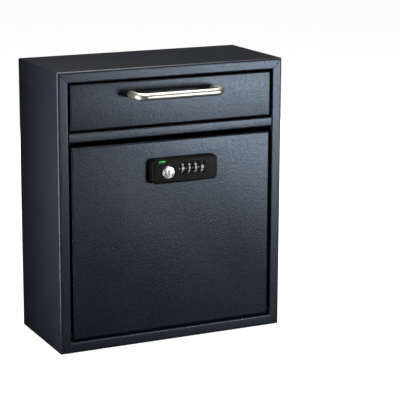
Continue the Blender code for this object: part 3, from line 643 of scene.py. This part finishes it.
def cross_screw(name, node, body, head_radius, head_height, shank_radius):
    """A pan-head screw whose head looks to the rear, with a cross recess."""
    lo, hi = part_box(node)
    centre = screw_centre(node, 0.0)
    seat = hi.y - head_height
    profile = [(0.0, hi.y)]
    for a in quarter(6):
        reach = HEAD_FLAT + (1 - HEAD_FLAT) * math.sin(a)
        fall = HEAD_DOME * (1 - math.cos(a))
        profile.append((head_radius * reach, hi.y - head_height * fall))
    profile += [(head_radius, seat), (shank_radius, seat), (shank_radius, lo.y), (0.0, lo.y)]
    bm = lathe(profile, centre, 32)
    obj = mesh_piece(name, bm, "zinc_plate", body, node)
    reach, half = head_radius * RECESS_REACH, head_radius * RECESS_HALF
    for half_x, half_z in ((half, reach), (reach, half)):
        low = (centre.x - half_x, hi.y - head_height * RECESS_DEPTH, centre.z - half_z)
        high = (centre.x + half_x, hi.y + THROUGH, centre.z + half_z)
        cut(obj, box_bmesh(low, high))
    smooth(obj)


def lathe(profile, centre, sides):
    """A closed turned shape about the Y direction from (radius, y) points, ends on the axis or open."""
    bm = new_bmesh()
    rings = []
    for radius, y in profile:
        if radius == 0.0:
            rings.append([bm.verts.new((centre.x, y, centre.z))])
            continue
        ring = []
        for step in range(sides):
            a = 2 * math.pi * step / sides
            x, z = centre.x + radius * math.cos(a), centre.z + radius * math.sin(a)
            ring.append(bm.verts.new((x, y, z)))
        rings.append(ring)
    for first, second in zip(rings, rings[1:]):
        for i in range(sides):
            j = (i + 1) % sides
            corners = [first[i % len(first)], first[j % len(first)], second[j % len(second)]]
            corners.append(second[i % len(second)])
            bm.faces.new(list(dict.fromkeys(corners)))
    bmesh.ops.recalc_face_normals(bm, faces=bm.faces)
    return bm


# ---------------------------------------------------------------- lock


def bow(x):
    """How far the cover's face lies behind its crown."""
    return (x - COVER_CROWN_X) ** 2 / (2 * COVER_BOW)


def cover_ring(bm, lo, hi, inset, depth, bowed, steps=7):
    """One turn round the cover at an inset, at a depth behind its bowed face."""
    radius = max(COVER_CORNER - inset, NARROW)
    spots = []
    for number, (sx, sz) in enumerate(((1, 1), (-1, 1), (-1, -1), (1, -1))):
        cx = (hi.x if sx > 0 else lo.x) - sx * (inset + radius)
        cz = (hi.z if sz > 0 else lo.z) - sz * (inset + radius)
        for step in range(steps + 1):
            angle = math.pi / 2 * (number + step / steps)
            spots.append((cx + radius * math.cos(angle), cz + radius * math.sin(angle)))
        if number in (0, 2):
            spots += straight_run(spots[-1], sx, lo, hi)
    return [bm.verts.new((x, depth + bowed * bow(x), z)) for x, z in spots]


def straight_run(start, sign, lo, hi):
    """Points along a long side of the cover, between its corners."""
    first, last = hi.x - COVER_CORNER, lo.x + COVER_CORNER
    steps = [first + (last - first) * step / COVER_COLUMNS for step in range(1, COVER_COLUMNS)]
    return [(x, start[1]) for x in (steps if sign > 0 else steps[::-1])]


def lock_cover():
    """The moulded cover: rounded ends, a bowed face, and windows for the dials and the indicator."""
    lo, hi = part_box("lock_housing")
    bm = new_bmesh()
    rings = [cover_ring(bm, lo, hi, 0.0, hi.y, 0.0)]
    for a in quarter(8):
        inset = COVER_FILLET * (1 - math.cos(a))
        rings.append(cover_ring(bm, lo, hi, inset, lo.y + COVER_FILLET * (1 - math.sin(a)), 1.0))
    ring_strip(bm, rings)
    bm.faces.new(rings[0])
    bmesh.ops.triangle_fill(bm, use_beauty=True, use_dissolve=False, edges=ring_edges(rings[-1]))
    bmesh.ops.recalc_face_normals(bm, faces=bm.faces)
    obj = mesh_piece("lock_cover", bm, "lock_plastic", "door", "lock_housing")
    body_lo, body_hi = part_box("lock_body")
    inside = lo.y + COVER_INSIDE
    low = (body_lo.x - NARROW, inside, body_lo.z - NARROW)
    cut(obj, box_bmesh(low, (body_hi.x + NARROW, hi.y + THROUGH, body_hi.z + NARROW)))
    cut(obj, flag_room(inside, body_lo.y))
    axis = joint_point("lock_turn")
    cut_collar(obj, lo.y, axis)
    for number in DIAL_NUMBERS:
        window(obj, lo.y, joint_point(f"dial_{number}_spin"))
    rim = lo.y + bow(axis.x) + WINDOW_CHAMFER
    cut(obj, prism(slot_outline(0.0), lo.y - THROUGH, inside + NARROW))
    cut(obj, prism(slot_outline(WINDOW_CHAMFER), lo.y - THROUGH, rim))
    screws = [screw_centre(f"lock_screw_{side}", hi.y) for side in SIDES]
    cut(obj, cylinder_bmesh(screws, COVER_SCREW_HOLE, COVER_SCREW_CUT, "Y", 16))
    for x, z in DIMPLES:
        spot = axis + Vector((x, 0, z))
        spot.y = lo.y + bow(spot.x)
        tip = DIMPLE_RADIUS * DIMPLE_TIP
        cut(obj, cylinder_bmesh([spot], DIMPLE_RADIUS, DIMPLE_DEPTH, "Y", 20, tip=tip))
    smooth(obj, SHARP_COVER)


def ring_edges(ring):
    """The edges between neighbours in a closed ring of vertices."""
    found = []
    for first, second in zip(ring, ring[1:] + ring[:1]):
        found += [edge for edge in first.link_edges if edge.other_vert(first) is second]
    return found


def prism(points, y0, y1):
    """A closed block with an (x, z) outline between two depths."""
    bm = new_bmesh()
    rings = [[bm.verts.new((x, y, z)) for x, z in points] for y in (y0, y1)]
    ring_strip(bm, rings)
    bm.faces.new(rings[0])
    bm.faces.new(rings[1])
    bmesh.ops.recalc_face_normals(bm, faces=bm.faces)
    return bm


def flag_room(y0, y1):
    """The space behind the cover's face that the indicator flag turns in."""
    axis = joint_point("lock_turn")
    points = []
    for step in range(64):
        angle = 2 * math.pi * step / 64
        height = min(max(FLAG_REACH * math.sin(angle), -FLAG_HALF), FLAG_TOP)
        points.append((axis.x + FLAG_REACH * math.cos(angle), axis.z + height))
    return prism(points, y0, y1 + FLAG_ROOM_EXTRA)


def slot_outline(grow):
    """The indicator's slot: straight sides and round ends, larger all round by grow."""
    lo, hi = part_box("indicator_backing")
    radius = SLOT_HEIGHT / 2 + grow
    edge = NARROW + SLOT_HEIGHT / 2
    middle = hi.z - edge
    points = []
    for end, start in ((hi.x - edge, -math.pi / 2), (lo.x + edge, math.pi / 2)):
        for step in range(SLOT_STEPS + 1):
            angle = start + math.pi * step / SLOT_STEPS
            points.append((end + radius * math.cos(angle), middle + radius * math.sin(angle)))
    return points


def frustum_box(low, high, spread):
    """A box whose face towards -Y is larger all round by spread."""
    bm = box_bmesh(low, high)
    for vert in bm.verts:
        if vert.co.y < (low[1] + high[1]) / 2:
            vert.co.x += spread if vert.co.x > (low[0] + high[0]) / 2 else -spread
            vert.co.z += spread if vert.co.z > (low[2] + high[2]) / 2 else -spread
    return bm


def window(obj, crown, centre):
    """A rectangular window through the cover's face, with a chamfered rim."""
    half_x, half_z = WINDOW_HALF
    x0, x1 = centre.x - half_x, centre.x + half_x
    z0, z1 = centre.z - half_z, centre.z + half_z
    cut(obj, box_bmesh((x0, crown - THROUGH, z0), (x1, crown + COVER_INSIDE + NARROW, z1)))
    front = crown + bow(centre.x)
    low = (x0, front - WINDOW_CHAMFER, z0)
    high = (x1, front + WINDOW_CHAMFER, z1)
    cut(obj, frustum_box(low, high, 2 * WINDOW_CHAMFER))


def cut_collar(obj, crown, axis):
    """The hole for the sleeve, with a dished rim."""
    lo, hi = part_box("cylinder_sleeve")
    radius = (hi.x - lo.x) / 2
    centre = Vector((axis.x, crown + bow(axis.x), axis.z))
    rim, foot = radius + COLLAR_RIM, radius + COLLAR_FOOT
    cut(obj, cylinder_bmesh([centre], radius + NARROW, COLLAR_CUT, "Y", 64))
    cut(obj, cylinder_bmesh([centre], rim, COLLAR_DEPTH, "Y", 64, tip=foot))


def index_marks():
    """A small painted mark beside each window, level with the line that is read."""
    cover_lo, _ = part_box("lock_housing")
    half_x, half_z = MARK_SIZE[0] / 2, MARK_SIZE[1] / 2
    for number in DIAL_NUMBERS:
        centre = joint_point(f"dial_{number}_spin")
        x = centre.x - WINDOW_HALF[0] - 2 * WINDOW_CHAMFER - half_x
        y = cover_lo.y + bow(x)
        low = (x - half_x, y - MARK_PROUD, centre.z - half_z)
        bm = box_bmesh(low, (x + half_x, y + MARK_BED, centre.z + half_z))
        bmesh.ops.bevel(bm, geom=list(bm.edges), offset=MARK_EDGE, segments=2, affect="EDGES")
        mesh_piece(f"index_mark_{number}", bm, "figure_paint", "door", slot="dial_plastic")


def lock_ring():
    """The fixed sleeve round the plug, with rounded rims."""
    lo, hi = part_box("cylinder_sleeve")
    plug_lo, plug_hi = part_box("key_plug")
    outer = (hi.x - lo.x) / 2
    bore = (plug_hi.x - plug_lo.x) / 2 + NARROW
    inner_edge, outer_edge = SLEEVE_INNER_EDGE, SLEEVE_OUTER_EDGE
    profile = [(bore, hi.y), (bore, lo.y + inner_edge)]
    for a in quarter(3)[1:]:
        profile.append((bore + inner_edge * math.sin(a), lo.y + inner_edge * (1 - math.sin(a))))
    for a in quarter(6):
        profile.append((outer - outer_edge * (1 - math.sin(a)), lo.y + outer_edge * (1 - math.cos(a))))
    profile += [(outer, hi.y), (bore, hi.y)]
    bm = lathe(profile, joint_point("lock_turn"), 64)
    mesh_piece("lock_ring", bm, "bright_chrome", "door", "cylinder_sleeve")


def lock_plug():
    """The turning plug: a keyway with round ends in its front, and a screw hole in its tail."""
    axis = joint_point("lock_turn")
    lo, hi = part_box("key_plug")
    radius = (hi.x - lo.x) / 2
    tail = hi.y - PLUG_TAIL_LENGTH
    profile = [(0.0, lo.y)]
    for a in quarter(4):
        profile.append((radius - PLUG_EDGE * (1 - math.sin(a)), lo.y + PLUG_EDGE * (1 - math.cos(a))))
    profile += [(radius, tail), (PLUG_TAIL_RADIUS, tail), (PLUG_TAIL_RADIUS, hi.y), (0.0, hi.y)]
    bm = lathe(profile, axis, 64)
    obj = mesh_piece("lock_plug", bm, "bright_chrome", "lock_rotor", "key_plug")
    half_x, half_z = KEYWAY_HALF
    low = (axis.x - half_x, lo.y - THROUGH, axis.z - half_z)
    cut(obj, box_bmesh(low, (axis.x + half_x, lo.y + KEYWAY_DEPTH, axis.z + half_z)))
    for offset in (-half_z + KEYWAY_EYE, half_z - KEYWAY_EYE):
        centre = Vector((axis.x, lo.y, axis.z + offset))
        cut(obj, cylinder_bmesh([centre], KEYWAY_EYE, 2 * KEYWAY_DEPTH, "Y", 24))
    bore = Vector((axis.x, hi.y, axis.z))
    cut(obj, cylinder_bmesh([bore], CAM_SCREW_HOLE, CAM_SCREW_CUT, "Y", 20))
    smooth(obj)


def indicator_lens():
    """A clear cover set in the indicator's slot, domed to the front."""
    cover_lo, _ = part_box("lock_housing")
    outline = slot_outline(-LENS_GAP)
    middle_x = sum(x for x, _ in outline) / len(outline)
    middle_z = sum(z for _, z in outline) / len(outline)
    seat = cover_lo.y + bow(middle_x) + LENS_SEAT
    bm = new_bmesh()
    rings = [[bm.verts.new((x, seat + LENS_THICKNESS, z)) for x, z in outline]]
    for a in quarter(4)[:-1]:
        y = seat - LENS_DOME * math.sin(a)
        outline = slot_outline(-LENS_GAP - SLOT_HEIGHT / 2 * (1 - math.cos(a)))
        rings.append([bm.verts.new((x, y, z)) for x, z in outline])
    ring_strip(bm, rings)
    crest = bm.verts.new((middle_x, seat - LENS_DOME, middle_z))
    last = rings[-1]
    for first, second in zip(last, last[1:] + last[:1]):
        bm.faces.new((first, second, crest))
    bm.faces.new(rings[0])
    bmesh.ops.recalc_face_normals(bm, faces=bm.faces)
    mesh_piece("indicator_lens", bm, "clear_lens", "door")


# ---------------------------------------------------------------- dials


def dial(number):
    """A number wheel: flats that carry the figures, beside a knurled rim on each side."""
    lo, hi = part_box(f"dial_{number}")
    centre = joint_point(f"dial_{number}_spin")
    radius = (hi.z - lo.z) / 2
    rim = [
        (0.0, radius - RIM_CHAMFER, 0.0),
        (RIM_EDGE, radius, TOOTH_DEPTH),
        (DIAL_RIM - RIM_SLOPE, radius, TOOTH_DEPTH),
        (DIAL_RIM, radius - DIAL_GROOVE, 0.0),
    ]
    stations = [(lo.x + x, reach, tooth) for x, reach, tooth in rim]
    stations += [(hi.x - x, reach, tooth) for x, reach, tooth in rim[::-1]]
    stations += [(hi.x, DIAL_BORE, 0.0), (lo.x, DIAL_BORE, 0.0)]
    bm = new_bmesh()
    rings = [wheel_ring(bm, centre, *station) for station in stations]
    ring_strip(bm, rings + rings[:1])
    bmesh.ops.recalc_face_normals(bm, faces=bm.faces)
    name = f"dial_{number}"
    mesh_piece(name + "_wheel", bm, "dial_plastic", name, name, angle=SHARP_WHEEL)
    figures(name + "_figures", name, centre, radius - DIAL_GROOVE, SHOWN_DIGITS[number - 1])


def wheel_ring(bm, centre, x, radius, tooth):
    """One turn round a wheel, with every other vertex drawn in by the tooth's depth."""
    ring = []
    for step in range(2 * TEETH):
        angle = math.pi * step / TEETH
        reach = radius - (tooth if step % 2 else 0.0)
        spot = (x, centre.y + reach * math.sin(angle), centre.z + reach * math.cos(angle))
        ring.append(bm.verts.new(spot))
    return ring


def figures(name, body, centre, radius, shown):
    """The figures 0 to 9 wrapped round a wheel, with the shown one to the front."""
    bm = new_bmesh()
    for digit in range(DIAL_DIGITS):
        turn = 2 * math.pi * (digit - shown) / DIAL_DIGITS
        mesh = digit_mesh(str(digit))
        for vert in mesh.vertices:
            u, v, w = vert.co
            angle = turn + v / radius
            reach = radius + w
            y, z = centre.y - reach * math.cos(angle), centre.z + reach * math.sin(angle)
            vert.co = (centre.x + u, y, z)
        bm.from_mesh(mesh)
        bpy.data.meshes.remove(mesh)
    bmesh.ops.recalc_face_normals(bm, faces=bm.faces)
    mesh_piece(name, bm, "figure_paint", body, slot="dial_plastic")


def digit_mesh(text):
    """A figure as a thin closed mesh centred on the origin, facing +Z."""
    curve = bpy.data.curves.new("digit", "FONT")
    curve.body = text
    curve.align_x = "CENTER"
    curve.align_y = "CENTER"
    curve.size = DIGIT_HEIGHT / CAPITAL_HEIGHT
    curve.extrude = DIGIT_THICKNESS
    curve.offset = DIGIT_BOLDNESS
    curve.resolution_u = 4
    obj = bpy.data.objects.new("digit", curve)
    bpy.context.scene.collection.objects.link(obj)
    bpy.context.view_layer.update()
    graph = bpy.context.evaluated_depsgraph_get()
    mesh = bpy.data.meshes.new_from_object(obj.evaluated_get(graph))
    bpy.data.objects.remove(obj, do_unlink=True)
    bpy.data.curves.remove(curve)
    xs = [vert.co.x for vert in mesh.vertices]
    ys = [vert.co.y for vert in mesh.vertices]
    shift = Vector((-(min(xs) + max(xs)) / 2, -(min(ys) + max(ys)) / 2, 0))
    mesh.transform(Matrix.Diagonal((DIGIT_STRETCH, 1.0, 1.0, 1.0)) @ Matrix.Translation(shift))
    return mesh


# ---------------------------------------------------------------- stage


def floor():
    """A white floor that glows for the camera, and throws no light on the object."""
    bm = new_bmesh()
    bmesh.ops.create_grid(bm, x_segments=1, y_segments=1, size=FLOOR_REACH)
    bmesh.ops.translate(bm, vec=(0, 0, -FLOOR_DROP), verts=bm.verts)
    mesh = bpy.data.meshes.new("floor")
    bm.to_mesh(mesh)
    bm.free()
    obj = bpy.data.objects.new("floor", mesh)
    bpy.context.scene.collection.objects.link(obj)
    look = Look("floor", (FLOOR_GREY, FLOOR_GREY, FLOOR_GREY), 0.9, Specular_IOR_Level=0.0)
    look.set("Emission Color", (1.0, 1.0, 1.0, 1.0))
    look.set("Emission Strength", FLOOR_GLOW)
    obj.data.materials.append(look.material)
    obj.visible_diffuse = False
    obj.visible_glossy = False


def softbox(name, location, target, size, power, color=(1.0, 1.0, 1.0)):
    """An area light at a place, turned to a target, and out of the camera's sight."""
    light = bpy.data.lights.new(name, "AREA")
    light.shape = "RECTANGLE"
    light.size, light.size_y = size
    light.energy = power
    light.color = color
    obj = bpy.data.objects.new(name, light)
    obj.location = location
    way = Vector(location) - Vector(target)
    obj.rotation_euler = way.to_track_quat("Z", "Y").to_euler()
    obj.visible_camera = False
    bpy.context.scene.collection.objects.link(obj)


def sky_strength(nodes, links):
    """Dim light from all round, dimmer from below the horizon."""
    place = nodes.new("ShaderNodeTexCoord")
    split = nodes.new("ShaderNodeSeparateXYZ")
    rise = nodes.new("ShaderNodeMapRange")
    rise.inputs["From Min"].default_value = -HORIZON_BAND
    rise.inputs["From Max"].default_value = HORIZON_BAND
    rise.inputs["To Min"].default_value = BELOW_HORIZON
    rise.inputs["To Max"].default_value = ABOVE_HORIZON
    links.new(place.outputs["Generated"], split.inputs["Vector"])
    links.new(split.outputs["Z"], rise.inputs["Value"])
    return rise.outputs["Result"]


def studio():
    """Four soft lights in a dim surround, which the camera sees as white."""
    world = bpy.data.worlds.new("studio")
    world.use_nodes = True
    nodes, links = world.node_tree.nodes, world.node_tree.links
    dim = nodes["Background"]
    links.new(sky_strength(nodes, links), dim.inputs["Strength"])
    white = nodes.new("ShaderNodeBackground")
    white.inputs["Color"].default_value = (1.0, 1.0, 1.0, 1.0)
    path, mix = nodes.new("ShaderNodeLightPath"), nodes.new("ShaderNodeMixShader")
    links.new(path.outputs["Is Camera Ray"], mix.inputs["Fac"])
    links.new(dim.outputs["Background"], mix.inputs[1])
    links.new(white.outputs["Background"], mix.inputs[2])
    links.new(mix.outputs["Shader"], nodes["World Output"].inputs["Surface"])
    bpy.context.scene.world = world
    softbox(
        "key", location=(0.57, -0.90, 0.18), target=(0.05, 0.0, 0.22), size=(0.40, 0.20), power=7.9
    )
    softbox(
        "side", location=(-0.25, -0.064, 0.17), target=(-0.132, -0.062, 0.16), size=(0.05, 0.36), power=0.80
    )
    softbox(
        "top",
        location=(0.10, 0.10, 1.40),
        target=(0.0, 0.0, 0.30),
        size=(1.0, 1.0),
        power=30.0,
        color=(1.0, 0.90, 0.80),
    )
    softbox(
        "rear", location=(0.30, 1.20, 0.18), target=(0.0, 0.0, 0.18), size=(0.9, 0.22), power=28.0
    )
    bpy.context.scene.view_settings.view_transform = "Standard"


def camera():
    data = bpy.data.cameras.new("camera")
    data.sensor_width = 36.0
    data.lens = CAMERA_LENS
    data.shift_x, data.shift_y = CAMERA_SHIFT
    data.clip_start = 0.01
    obj = bpy.data.objects.new("camera", data)
    obj.location = CAMERA_PLACE
    obj.rotation_euler = (math.radians(90 - CAMERA_FALL), 0.0, math.radians(CAMERA_TURN))
    bpy.context.scene.collection.objects.link(obj)
    bpy.context.scene.camera = obj


# ---------------------------------------------------------------- build

dress_cad_nodes()
cabinet()
rail()
hopper_front()
wire_handle()
door_front()
lock_cover()
lock_ring()
lock_plug()
indicator_lens()
index_marks()
for dial_number in DIAL_NUMBERS:
    dial(dial_number)
for side in SIDES:
    cross_screw(f"handle_bolt_{side}", f"handle_screw_{side}", "hopper", *HANDLE_SCREW)
    cross_screw(f"clamp_bolt_{side}", f"lock_screw_{side}", "door", *LOCK_SCREW)
cross_screw("cam_bolt", "cam_screw", "lock_rotor", *CAM_SCREW)
floor()
studio()
camera()
